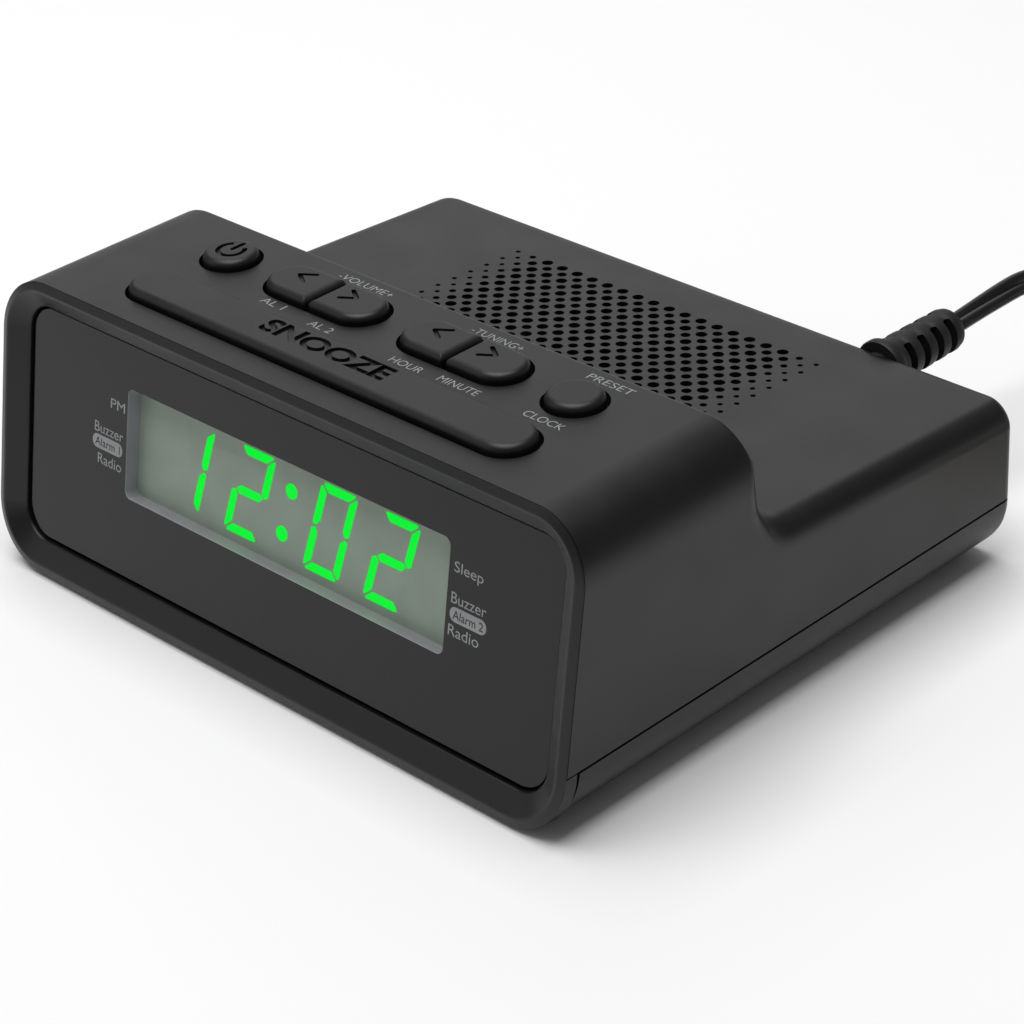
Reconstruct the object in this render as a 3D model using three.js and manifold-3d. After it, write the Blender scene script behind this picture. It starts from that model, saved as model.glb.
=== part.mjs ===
// Mains clock radio: raised front block with a green LED clock, low rear deck with a speaker grille.
// Millimetres, +Z up, the clock faces -Y. The origin is the centre of the footprint, at the feet.
import * as THREE from "three";
import { mergeVertices } from "three/addons/utils/BufferGeometryUtils.js";
import Module from "manifold-3d";

const wasm = await Module();
wasm.setup();

// ---------- driving dimensions ----------
const WIDTH = 148;
const HALF = WIDTH / 2;
const REAR_Y = 60.6;
const FRONT_FOOT_Y = -60.3; // foot of the joint plane between bezel and cabinet
const BASE_Z = 1; // underside, held up by the feet
const TOP_Z = 57; // top of the front block
const SEAM_Z = 13.8; // joint between upper and lower cabinet
const DECK_FRONT_Z = 36.1;
const DECK_SLOPE = 0.048; // the deck falls this much per millimetre towards the rear
const STEP_TOP_Y = -9.7;
const STEP_FOOT_Y = -8.3;
const STEP_FILLET = 8;
const BLOCK_RADIUS = 10.5;
const DECK_RADIUS = 6;
const BOTTOM_RADIUS = 12;
const WALL = 2;
const GAP = 0.3;
const TILT = THREE.MathUtils.degToRad(10.5); // lean of the front

const BUTTON_ROW_Y = -21.2;
const SNOOZE_Y = -38.1;
const HOLE_RADIUS = 6;
const SINGLE_X = 43.5;
const PAIR_X = 17.4;
const PAIR_REACH = 8.5; // from a pair's middle to the centre of its round end
const SNOOZE_REACH = 44.6;
const CAP_GAP = 0.45;
const CAP_PROUD = 1.8;
const CAP_TRAVEL = 1;

const RIDGE_INSET = 1.7;
const RIDGE_PROUD = 0.6;
const LIP_INSET = 5.7;
const LIP_DEPTH = 1.8;
const PANEL_DEPTH = 2.4;
const PANEL_THICK = 1.5;
const LEDGE_INSET = 8.5;
const TUBE_DEPTH = 6; // the part of the bezel inside the cabinet
const TUBE_FOOT = 4;
const SKIRT = 2.6; // how far the bezel reaches back under the lower cabinet's front end

const WINDOW = { x: 0.6, v: 32.3, width: 82.2, height: 20.7, radius: 1.8 };

const SPEAKER = { x: -1, y: 26, radius: 25 };
const BOSS_PLACES = [[-66, -44], [66, -44], [-66, 50], [66, 50]];
const FOOT_PLACES = [[-50, -44], [50, -44], [-44, 52], [44, 52]];
const KEY_BOARD = { z: 43, thick: 1.6 };
const MAIN_BOARD = { x0: -5, x1: 58, y0: -32, y1: 44, z: 8.6, thick: 1.6 };
const BATTERY_BAY = { x: -34, y: -21, width: 52, depth: 30, top: 23 };

const BOOT = { x: 42.2, z: 29.2, end: 82.4, base: 4.6, tip: 4.1, flange: 5.4 };
const CORD_RADIUS = 2.4;
const COIL = { x: 88, y: 148, outer: 33.5, inner: 18.9, height: 10.2 };
const PLUG = { x: 114.6, y: 114.4, z: 8.2, heading: THREE.MathUtils.degToRad(10) };

// ---------- materials ----------
const matte = new THREE.MeshStandardMaterial({ color: 0x2b2b2c, roughness: 0.62, metalness: 0 });
const rubber = new THREE.MeshStandardMaterial({ color: 0x1c1c1d, roughness: 0.8, metalness: 0 });
const gloss = new THREE.MeshStandardMaterial({ color: 0x222224, roughness: 0.18, metalness: 0 });
const filter = new THREE.MeshStandardMaterial({ color: 0x6f7c72, roughness: 0.5, metalness: 0 });
const housing = new THREE.MeshStandardMaterial({ color: 0x5e6064, roughness: 0.6, metalness: 0 });
const board = new THREE.MeshStandardMaterial({ color: 0x1f5a34, roughness: 0.5, metalness: 0 });
const steel = new THREE.MeshStandardMaterial({ color: 0xb8babd, roughness: 0.35, metalness: 1 });
const copper = new THREE.MeshStandardMaterial({ color: 0xb06a35, roughness: 0.4, metalness: 1 });
const ferrite = new THREE.MeshStandardMaterial({ color: 0x3a3735, roughness: 0.7, metalness: 0 });
const paper = new THREE.MeshStandardMaterial({ color: 0x4a4640, roughness: 0.9, metalness: 0 });
const cell = new THREE.MeshStandardMaterial({ color: 0x7b7f86, roughness: 0.4, metalness: 0.6 });
const brass = new THREE.MeshStandardMaterial({ color: 0xc9a857, roughness: 0.3, metalness: 1 });

// ---------- solid helpers ----------
function bare(geometry) {
  const copy = geometry.clone();
  copy.deleteAttribute("normal");
  copy.deleteAttribute("uv");
  return mergeVertices(copy, 1e-4);
}

function solid(geometry) {
  const merged = bare(geometry);
  return new wasm.Manifold(new wasm.Mesh({
    numProp: 3,
    vertProperties: new Float32Array(merged.attributes.position.array),
    triVerts: new Uint32Array(merged.index.array),
  }));
}

function geometryOf(manifold) {
  const mesh = manifold.getMesh();
  const geometry = new THREE.BufferGeometry();
  geometry.setAttribute("position", new THREE.BufferAttribute(mesh.vertProperties, 3));
  geometry.setIndex(new THREE.BufferAttribute(mesh.triVerts, 1));
  geometry.computeVertexNormals();
  return geometry;
}

function join(...pieces) {
  return pieces.reduce((sum, piece) => sum.add(piece));
}

function cut(body, ...tools) {
  return tools.reduce((rest, tool) => rest.subtract(tool), body);
}

// A closed outline with rounded corners; radii run bottom left, bottom right, top right, top left.
function roundedOutline(x0, x1, y0, y1, radii, segments = 6) {
  const [bl, br, tr, tl] = radii;
  const corners = [
    [x0 + bl, y0 + bl, bl, 180],
    [x1 - br, y0 + br, br, 270],
    [x1 - tr, y1 - tr, tr, 0],
    [x0 + tl, y1 - tl, tl, 90],
  ];
  const points = [];
  for (const [cx, cy, radius, start] of corners) {
    for (let step = 0; step <= segments; step += 1) {
      const angle = THREE.MathUtils.degToRad(start + (90 * step) / segments);
      points.push(new THREE.Vector2(cx + radius * Math.cos(angle), cy + radius * Math.sin(angle)));
    }
  }
  return points;
}

function circleOutline(radius, sides, cx = 0, cy = 0) {
  const points = [];
  for (let side = 0; side < sides; side += 1) {
    const angle = ((side + 0.5) / sides) * Math.PI * 2;
    points.push(new THREE.Vector2(cx + radius * Math.cos(angle), cy + radius * Math.sin(angle)));
  }
  return points;
}

// A straight or tapered prism from z0 to z1; both outlines have the same number of points.
function prism(outline, z0, z1, farOutline = outline) {
  const geometry = new THREE.ExtrudeGeometry(new THREE.Shape(outline), {
    depth: z1 - z0,
    bevelEnabled: false,
    steps: 1,
  });
  const position = geometry.attributes.position;
  for (let index = 0; index < position.count; index += 1) {
    if (position.getZ(index) < (z1 - z0) / 2) continue;
    let nearest = 0;
    let best = Infinity;
    outline.forEach((point, number) => {
      const miss = Math.hypot(point.x - position.getX(index), point.y - position.getY(index));
      if (miss < best) {
        best = miss;
        nearest = number;
      }
    });
    position.setX(index, farOutline[nearest].x);
    position.setY(index, farOutline[nearest].y);
  }
  geometry.translate(0, 0, z0);
  return geometry;
}

function box(x0, x1, y0, y1, z0, z1) {
  const geometry = new THREE.BoxGeometry(x1 - x0, y1 - y0, z1 - z0);
  return geometry.translate((x0 + x1) / 2, (y0 + y1) / 2, (z0 + z1) / 2);
}

function post(radius, x, y, z0, z1, sides = 16) {
  return prism(circleOutline(radius, sides, x, y), z0, z1);
}

// Moves a solid drawn as outline (x, height) along depth into the frame of the leaning front:
// x stays, the outline's second axis runs up the front, and depth points out of it.
const leaning = new THREE.Matrix4().makeBasis(
  new THREE.Vector3(1, 0, 0),
  new THREE.Vector3(0, Math.sin(TILT), Math.cos(TILT)),
  new THREE.Vector3(0, -Math.cos(TILT), Math.sin(TILT)),
);
leaning.setPosition(0, FRONT_FOOT_Y, BASE_Z);
const FRONT_HEIGHT = (TOP_Z - BASE_Z) / Math.cos(TILT);

function onFront(geometry) {
  return geometry.clone().applyMatrix4(leaning);
}

const scene = new THREE.Group();

function add(name, shape, material, parent = scene) {
  const geometry = shape instanceof THREE.BufferGeometry ? bare(shape) : geometryOf(shape);
  geometry.computeVertexNormals();
  const mesh = new THREE.Mesh(geometry, material);
  mesh.name = name;
  parent.add(mesh);
  return mesh;
}

// ---------- upper cabinet ----------
function deckHeight(y) {
  return DECK_FRONT_Z - DECK_SLOPE * (y - STEP_FOOT_Y);
}

// Cross-section stations from front to rear: how high the top is and how round its edges are.
function stations(inset) {
  const list = [[-75, TOP_Z - inset, BLOCK_RADIUS - inset]];
  const top = TOP_Z - inset;
  const wallY = STEP_TOP_Y - inset;
  list.push([wallY - 1, top, BLOCK_RADIUS - inset]);
  list.push([wallY - 0.3, top - 0.3, BLOCK_RADIUS - inset]);
  list.push([wallY, top - 1, BLOCK_RADIUS - inset]);
  const footY = STEP_FOOT_Y - inset;
  const deck = deckHeight(STEP_FOOT_Y) - inset;
  const fillet = STEP_FILLET;
  const turns = 4;
  for (let turn = 0; turn <= turns; turn += 1) {
    const angle = ((Math.PI / 2) * turn) / turns;
    const y = footY + fillet * (1 - Math.cos(angle));
    const z = deck + fillet * (1 - Math.sin(angle));
    const blend = turn / turns;
    list.push([y, z, BLOCK_RADIUS * (1 - blend) + DECK_RADIUS * blend - inset]);
  }
  list.push([REAR_Y - inset, deckHeight(REAR_Y) - inset, DECK_RADIUS - inset]);
  return list;
}

function cabinetSolid(inset, floorZ) {
  const list = stations(inset);
  const half = HALF - inset;
  const unit = roundedOutline(-half, half, 0, 30, [0.01, 0.01, 10, 10], 6);
  const geometry = new THREE.ExtrudeGeometry(new THREE.Shape(unit), {
    depth: list.length - 1,
    steps: list.length - 1,
    bevelEnabled: false,
  });
  const position = geometry.attributes.position;
  for (let index = 0; index < position.count; index += 1) {
    const [y, top, radius] = list[Math.round(position.getZ(index))];
    let x = position.getX(index);
    let z = position.getY(index);
    if (z >= 20) {
      const scale = radius / 10;
      const centreX = Math.sign(x) * (half - 10);
      x = Math.sign(x) * (half - radius) + (x - centreX) * scale;
      z = top - radius + (z - 20) * scale;
    } else {
      z = floorZ;
    }
    position.setXYZ(index, x, y, z);
  }
  // The outline's axes were (x, z) along y, which mirrors the solid, so the faces are turned over.
  const merged = bare(geometry);
  const order = merged.index.array;
  for (let corner = 0; corner < order.length; corner += 3) {
    [order[corner + 1], order[corner + 2]] = [order[corner + 2], order[corner + 1]];
  }
  return merged;
}

// A block that fills everything in front of the joint plane moved back by `back`.
function aheadOfFront(back) {
  return solid(onFront(box(-100, 100, -30, 90, -back, 60)));
}

function stadium(cx, cy, reach, radius, segments = 8) {
  const x0 = cx - reach - radius;
  const x1 = cx + reach + radius;
  const r = radius - 0.01;
  return roundedOutline(x0, x1, cy - radius, cy + radius, [r, r, r, r], segments);
}

const buttonHoles = [
  stadium(-SINGLE_X, BUTTON_ROW_Y, 0, HOLE_RADIUS, 5),
  stadium(-PAIR_X, BUTTON_ROW_Y, PAIR_REACH, HOLE_RADIUS, 4),
  stadium(PAIR_X, BUTTON_ROW_Y, PAIR_REACH, HOLE_RADIUS, 4),
  stadium(SINGLE_X, BUTTON_ROW_Y, 0, HOLE_RADIUS, 5),
  stadium(0, SNOOZE_Y, SNOOZE_REACH, HOLE_RADIUS, 4),
];

function upperCabinet() {
  let body = solid(cabinetSolid(0, SEAM_Z));
  body = cut(body, solid(cabinetSolid(WALL, SEAM_Z - 5)), aheadOfFront(GAP));
  for (const [x, y] of BOSS_PLACES) {
    const side = Math.sign(x);
    const rib = side > 0 ? box(68, 73, y - 1, y + 1, SEAM_Z, 26) : box(-73, -68, y - 1, y + 1, SEAM_Z, 26);
    body = join(body, solid(post(3.4, x, y, SEAM_Z, 26, 12)), solid(rib));
    body = cut(body, solid(post(1.6, x, y, SEAM_Z - 1, 24, 8)));
  }
  for (const x of [-57, 57]) {
    const foot = KEY_BOARD.z + KEY_BOARD.thick + GAP;
    body = join(body, solid(post(2.8, x, -30, foot, TOP_Z - 1, 10)));
    body = cut(body, solid(post(1.3, x, -30, foot - 1, foot + 6, 8)));
  }
  for (const outline of buttonHoles) {
    body = cut(body, solid(prism(outline, TOP_Z - 5, TOP_Z + 5)));
  }
  // The grille as a coarse field of square holes.
  const pitch = 7.2;
  const half = 2.1;
  for (let row = 0; row < 6; row += 1) {
    for (let column = 0; column < 10; column += 1) {
      const x = SPEAKER.x + (column - 4.5) * pitch;
      const y = SPEAKER.y + (row - 2.5) * pitch;
      body = cut(body, solid(box(x - half, x + half, y - half, y + half, 25, 42)));
    }
  }
  const outlet = new THREE.CylinderGeometry(3.6, 3.6, 12, 16).translate(BOOT.x, REAR_Y, BOOT.z);
  return cut(body, solid(outlet));
}

// ---------- lower cabinet ----------
const lowerOutline = roundedOutline(-HALF, HALF, BASE_Z, SEAM_Z - GAP, [BOTTOM_RADIUS, BOTTOM_RADIUS, 0.01, 0.01], 6);
const lowerInner = roundedOutline(
  -HALF + WALL, HALF - WALL, BASE_Z + WALL, SEAM_Z + 5,
  [BOTTOM_RADIUS - WALL, BOTTOM_RADIUS - WALL, 0.01, 0.01], 6,
);

// Turns a prism drawn as (x, z) along depth so that its depth runs from y0 towards the rear.
function alongY(outline, y0, y1) {
  const geometry = prism(outline, 0, y1 - y0);
  geometry.rotateX(Math.PI / 2);
  return geometry.translate(0, y1, 0);
}

function lowerCabinet() {
  const { x, y, width, depth, top } = BATTERY_BAY;
  const outside = solid(alongY(lowerOutline, -75, REAR_Y));
  let body = cut(outside, solid(alongY(lowerInner, -80, REAR_Y - WALL)), aheadOfFront(SKIRT + GAP));
  body = join(body, solid(box(x - width / 2 - 1.5, x + width / 2 + 1.5, y - depth / 2 - 1.5, y + depth / 2 + 1.5, BASE_Z + 1, top)));
  body = cut(body, solid(box(x - width / 2, x + width / 2, y - depth / 2, y + depth / 2, BASE_Z - 1, top - 1.5)));
  for (const [px, py] of BOSS_PLACES) {
    body = join(body, solid(post(4.8, px, py, BASE_Z + 1.5, SEAM_Z - GAP, 14)).intersect(outside));
    body = cut(body, solid(post(3.3, px, py, BASE_Z - 2, 9, 12)), solid(post(1.6, px, py, 8, SEAM_Z + 1, 8)));
  }
  for (const [px, py] of FOOT_PLACES) {
    body = cut(body, solid(post(5.3, px, py, BASE_Z - 1, BASE_Z + 1, 16)));
  }
  for (const px of [MAIN_BOARD.x0 + 5, MAIN_BOARD.x1 - 5]) {
    for (const py of [MAIN_BOARD.y0 + 5, MAIN_BOARD.y1 - 5]) {
      body = join(body, solid(post(2.6, px, py, BASE_Z + 1.5, MAIN_BOARD.z - GAP, 10)));
    }
    const screwY = MAIN_BOARD.y1 - 5;
    body = cut(body, solid(post(1.3, px, screwY, BASE_Z + 3, MAIN_BOARD.z, 8)));
  }
  // Ventilation slots under the transformer.
  for (let slot = 0; slot < 5; slot += 1) {
    const slotX = -62 + slot * 6;
    body = cut(body, solid(box(slotX, slotX + 2, 12, 22, BASE_Z - 1, BASE_Z + 5)));
  }
  return body;
}

function batteryDoor() {
  const { x, y, width, depth } = BATTERY_BAY;
  const x0 = x - width / 2 + 0.4;
  const x1 = x + width / 2 - 0.4;
  const plate = solid(box(x0, x1, y - depth / 2 + 0.4, y + depth / 2 - 0.4, BASE_Z + 0.1, BASE_Z + 1.6));
  const tongueY = y - depth / 2 + 1.6;
  const tongue = solid(box(x - 6, x + 6, tongueY, tongueY + 1.2, BASE_Z + 1, BASE_Z + 5.5));
  return join(plate, tongue);
}

// ---------- front ----------
function frontOutline(inset, segments = 6) {
  const top = Math.max(BLOCK_RADIUS - inset, 1);
  const bottom = Math.max(BOTTOM_RADIUS - inset, 1);
  return roundedOutline(
    -HALF + inset, HALF - inset, inset, FRONT_HEIGHT - inset, [bottom, bottom, top, top], segments,
  );
}

function bezel() {
  const place = (geometry) => solid(onFront(geometry));
  const side = HALF - WALL - 0.5;
  const round = BOTTOM_RADIUS - WALL - 1;
  const tubeOutline = roundedOutline(
    -side, side, TUBE_FOOT, FRONT_HEIGHT - TUBE_FOOT, [round, round, 8, 8],
  );
  // A shallow collar closes the gap between the sloping lip and the tube along the top.
  const collarOutline = roundedOutline(-side, side, 3.2, FRONT_HEIGHT - 2.5, [round, round, 8, 8]);
  const slab = place(box(-100, 100, -30, 90, -SKIRT, 0.1));
  const skirt = solid(alongY(lowerOutline, -75, 0)).intersect(slab);
  let ring = join(
    place(prism(frontOutline(0), 0, RIDGE_PROUD, frontOutline(RIDGE_INSET))),
    place(prism(tubeOutline, -TUBE_DEPTH, 0.1)),
    place(prism(collarOutline, -2.2, 0.1)),
    skirt,
  );
  ring = cut(
    ring,
    place(prism(frontOutline(LIP_INSET), -LIP_DEPTH, RIDGE_PROUD + 0.05, frontOutline(RIDGE_INSET - 0.05))),
    place(prism(frontOutline(LIP_INSET), -PANEL_DEPTH - PANEL_THICK - GAP, 0)),
    place(prism(frontOutline(LEDGE_INSET), -10, 1)),
  );
  for (const x of [-54, 54]) {
    ring = join(ring, place(post(2.6, x, 9.5, -13.2, -5.5, 10)));
    ring = cut(ring, place(post(1.3, x, 9.5, -14, -7, 8)));
  }
  return ring;
}

function roundedBox(x, v, width, height, radius, w0, w1, segments = 3) {
  const outline = roundedOutline(
    x - width / 2, x + width / 2, v - height / 2, v + height / 2, [radius, radius, radius, radius], segments,
  );
  return prism(outline, w0, w1);
}

function frontGroup() {
  const group = new THREE.Group();
  group.applyMatrix4(leaning);
  const back = -PANEL_DEPTH - PANEL_THICK;
  const { x, v, width, height, radius } = WINDOW;
  const panel = solid(prism(frontOutline(LIP_INSET + 0.4), back, -PANEL_DEPTH));
  const opening = solid(roundedBox(x, v, width, height, radius, back - 1, 1));
  add("lens_panel", cut(panel, opening), gloss, group);
  const clear = roundedBox(x, v, width - 0.6, height - 0.6, radius - 0.3, back, -PANEL_DEPTH - 0.1);
  add("display_window", clear, filter, group);
  const frameBack = back - 1.2;
  const frame = cut(
    solid(roundedBox(x, v, width + 8, height + 6, 2, frameBack, back - GAP)),
    solid(roundedBox(x, v, width + 1, height + 1, 2, frameBack - 1, 0)),
  );
  add("display_frame", frame, housing, group);
  const diffuserBack = frameBack - 1.1;
  add("display_diffuser", roundedBox(x, v, width + 6, height + 4, 1.5, diffuserBack, frameBack - GAP), filter, group);
  const moduleBack = diffuserBack - 7;
  add("led_display_module", roundedBox(x, v, width + 6, height + 2, 1, moduleBack, diffuserBack - GAP), housing, group);
  const boardFront = moduleBack - GAP;
  let pcb = solid(box(-60, 60, 5.5, 44, boardFront - 1.6, boardFront));
  for (const px of [-54, 54]) {
    pcb = cut(pcb, solid(post(1.6, px, 9.5, boardFront - 3, boardFront + 1, 8)));
    add(
      px < 0 ? "display_screw_left" : "display_screw_right",
      join(
        solid(post(2.4, px, 9.5, boardFront - 3.4, boardFront - 1.9, 10)),
        solid(post(1, px, 9.5, boardFront - 2, boardFront + 5, 8)),
      ),
      steel, group,
    );
  }
  add("display_board", pcb, board, group);
  scene.add(group);
}

// ---------- buttons ----------
// A cap stands in its hole, held from below by a flange, and a stem reaches down to its switch.
function cap(outlineAt, clip, stems) {
  const flange = 1;
  const chamfer = 0.9;
  let body = join(
    solid(prism(outlineAt(0), TOP_Z - WALL - 1.6, TOP_Z + CAP_PROUD - chamfer)),
    solid(prism(outlineAt(0), TOP_Z + CAP_PROUD - chamfer - 0.01, TOP_Z + CAP_PROUD, outlineAt(-chamfer))),
    solid(prism(outlineAt(CAP_GAP + flange), TOP_Z - WALL - 1.6, TOP_Z - WALL - GAP)),
  );
  if (clip) body = cut(body, clip);
  for (const [x, y] of stems) {
    body = join(body, solid(post(1.8, x, y, STEM_FOOT, TOP_Z - WALL - 1, 10)));
  }
  return body;
}

const BOARD_TOP = KEY_BOARD.z + KEY_BOARD.thick;
const SWITCH_TOP = BOARD_TOP + GAP + 4.6;
const STEM_FOOT = SWITCH_TOP + CAP_TRAVEL + 0.2;

function buttons() {
  const radius = HOLE_RADIUS - CAP_GAP;
  const single = (x) => (grow) => stadium(x, BUTTON_ROW_Y, 0, radius + grow, 5);
  const pair = (x) => (grow) => stadium(x, BUTTON_ROW_Y, PAIR_REACH, radius + grow, 4);
  const snooze = (grow) => stadium(0, SNOOZE_Y, SNOOZE_REACH, radius + grow, 4);
  const halfGap = 0.35;
  const rightOf = (x) => solid(box(x - halfGap, x + 40, -40, 0, 40, 70));
  const leftOf = (x) => solid(box(x - 40, x + halfGap, -40, 0, 40, 70));
  const places = [
    ["power", -SINGLE_X, single(-SINGLE_X), null, 0],
    ["volume_down", -PAIR_X, pair(-PAIR_X), rightOf(-PAIR_X), -7.5],
    ["volume_up", -PAIR_X, pair(-PAIR_X), leftOf(-PAIR_X), 7.5],
    ["tuning_down", PAIR_X, pair(PAIR_X), rightOf(PAIR_X), -7.5],
    ["tuning_up", PAIR_X, pair(PAIR_X), leftOf(PAIR_X), 7.5],
    ["preset", SINGLE_X, single(SINGLE_X), null, 0],
  ];
  for (const [name, x, outlineAt, clip, offset] of places) {
    add(`${name}_button`, cap(outlineAt, clip, [[x + offset, BUTTON_ROW_Y]]), rubber);
    tactSwitch(`${name}_switch`, x + offset, BUTTON_ROW_Y);
  }
  add("snooze_button", cap(snooze, null, [[0, SNOOZE_Y]]), rubber);
  tactSwitch("snooze_switch", 0, SNOOZE_Y);
}

function tactSwitch(name, x, y) {
  const foot = BOARD_TOP + GAP;
  const body = solid(box(x - 3, x + 3, y - 3, y + 3, foot, foot + 3.4));
  add(name, join(body, solid(post(1.7, x, y, foot + 3, SWITCH_TOP, 10))), housing);
}

function keyBoard() {
  let pcb = solid(box(-62, 62, -43, -14.5, KEY_BOARD.z, BOARD_TOP));
  for (const x of [-57, 57]) {
    pcb = cut(pcb, solid(post(1.6, x, -30, KEY_BOARD.z - 1, BOARD_TOP + 1, 8)));
    const head = solid(post(2.5, x, -30, KEY_BOARD.z - 2, KEY_BOARD.z - GAP, 10));
    const shank = solid(post(1, x, -30, KEY_BOARD.z - 1, BOARD_TOP + 5, 8));
    add(x < 0 ? "key_board_screw_left" : "key_board_screw_right", join(head, shank), steel);
  }
  add("key_board", pcb, board);
}

// ---------- inside ----------
function lathe(profile, segments = 20) {
  const points = profile.map(([r, z]) => new THREE.Vector2(r, z));
  return new THREE.LatheGeometry(points, segments).rotateX(Math.PI / 2);
}

function speaker() {
  const group = new THREE.Group();
  const under = deckHeight(SPEAKER.y) - WALL - GAP;
  group.position.set(SPEAKER.x, SPEAKER.y, under);
  group.rotation.x = -Math.atan(DECK_SLOPE);
  const r = SPEAKER.radius;
  // A pressed basket: flat rim, conical wall and a floor with a hole for the magnet's neck.
  add("speaker_basket", lathe([
    [r, 0], [r - 3, 0], [11, -9.5], [7, -9.5], [7, -10.5], [11.4, -10.5], [r - 3, -1.6], [r, -1.6], [r, 0],
  ], 24), steel, group);
  add("speaker_cone", lathe([
    [r - 5.2, -0.1], [6, -7.6], [0, -6.4], [0, -7.2], [6, -8.5], [r - 5.2, -0.9], [r - 5.2, -0.1],
  ], 24), paper, group);
  add("speaker_magnet", lathe([[0, -10.8], [0, -17], [13, -17], [13, -10.8], [0, -10.8]], 24), ferrite, group);
  scene.add(group);
}

function transformer() {
  const x = -46;
  const y = 34;
  const z0 = 3.4;
  const height = 27;
  const core = cut(
    solid(box(x - 18, x + 18, y - 6, y + 6, z0, z0 + height)),
    solid(box(x - 13, x - 5.5, y - 20, y + 20, z0 + 4.5, z0 + height - 4.5)),
    solid(box(x + 5.5, x + 13, y - 20, y + 20, z0 + 4.5, z0 + height - 4.5)),
  );
  add("transformer_core", core, ferrite);
  const coil = cut(
    solid(box(x - 12.6, x + 12.6, y - 12.5, y + 12.5, z0 + 4.9, z0 + height - 4.9)),
    solid(box(x - 5.9, x + 5.9, y - 6.4, y + 6.4, z0, z0 + height)),
  );
  add("transformer_coil", coil, copper);
}

function mainBoard() {
  const { x0, x1, y0, y1, z, thick } = MAIN_BOARD;
  let pcb = solid(box(x0, x1, y0, y1, z, z + thick));
  const screwY = y1 - 5;
  for (const [side, x] of [["left", x0 + 5], ["right", x1 - 5]]) {
    pcb = cut(pcb, solid(post(1.6, x, screwY, z - 1, z + thick + 1, 8)));
    const head = solid(post(2.5, x, screwY, z + thick + GAP, z + thick + 2, 10));
    const shank = solid(post(1, x, screwY, z - 4, z + thick + 1, 8));
    add(`board_screw_${side}`, join(head, shank), steel);
  }
  add("main_board", pcb, board);
  const top = z + thick + GAP;
  add("tuner_can", box(32, 54, 4, 24, top, top + 7), steel);
  add("audio_chip", box(-2, 10, -28, -20, top, top + 4), ferrite);
  add("filter_capacitor", post(5, 20, -20, top, top + 14, 14), cell);
}

function antenna() {
  const y = -8;
  const z = 27;
  const rod = new THREE.CylinderGeometry(3.8, 3.8, 56, 12).rotateZ(Math.PI / 2).translate(32, y, z);
  add("ferrite_rod", rod, ferrite);
  const outer = new THREE.CylinderGeometry(5.2, 5.2, 14, 16).rotateZ(Math.PI / 2).translate(44, y, z);
  const bore = new THREE.CylinderGeometry(4.15, 4.15, 30, 16).rotateZ(Math.PI / 2).translate(44, y, z);
  add("antenna_coil", cut(solid(outer), solid(bore)), copper);
}

function battery() {
  const { x, y, width } = BATTERY_BAY;
  const x0 = x - width / 2 + 0.6;
  add("backup_battery", box(x0, x0 + 46, y - 11.5, y + 14.5, 3.2, 19.8), cell);
  const snap = x0 + 46 + GAP;
  const clip = join(
    solid(box(snap + 2.4, snap + 4.4, y - 12, y + 12, 4, 18)),
    solid(box(snap, snap + 2.6, y - 9, y - 4, 8, 14)),
    solid(box(snap, snap + 2.6, y + 4, y + 9, 8, 14)),
  );
  add("battery_clip", clip, ferrite);
}

function fasteners() {
  const names = ["front_left", "front_right", "rear_left", "rear_right"];
  BOSS_PLACES.forEach(([x, y], index) => {
    const head = solid(post(2.8, x, y, 6.6, 8.7, 10));
    const shank = solid(post(1.2, x, y, 8, 22, 8));
    add(`case_screw_${names[index]}`, join(head, shank), steel);
  });
  FOOT_PLACES.forEach(([x, y], index) => {
    add(`foot_${names[index]}`, post(5, x, y, 0, BASE_Z + 1 - GAP, 16), rubber);
  });
}

// ---------- mains lead ----------
// The lead leaves the boot straight back, drops to the surface, turns and meets the coil.
const leadPoints = [
  [42.2, 82.7, 29.2],
  [42.2, 88.0, 29.5],
  [42.2, 94.0, 29.8],
  [42.2, 100.0, 30.0],
  [42.2, 104.5, 29.9],
  [42.4, 108.6, 29.3],
  [42.8, 112.5, 28.0],
  [43.3, 116.0, 26.0],
  [43.9, 119.1, 23.2],
  [44.5, 121.7, 19.8],
  [45.1, 123.8, 16.0],
  [45.7, 125.8, 12.2],
  [46.6, 128.3, 8.9],
  [47.7, 131.4, 6.2],
  [49.0, 134.9, 4.2],
  [50.3, 138.6, 3.0],
  [51.7, 142.3, 2.5],
];
// From the coil's upper outer turn to the plug.
const tailPoints = [
  [116.4, 124.6, 7.6],
  [115.6, 120.0, 7.9],
  [114.65, 114.9, 8.2],
];

function cordTube(points, steps) {
  const curve = new THREE.CatmullRomCurve3(points.map((point) => new THREE.Vector3(...point)));
  return new THREE.ExtrudeGeometry(new THREE.Shape(circleOutline(CORD_RADIUS, 8)), {
    extrudePath: curve,
    steps,
    bevelEnabled: false,
  });
}

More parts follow.
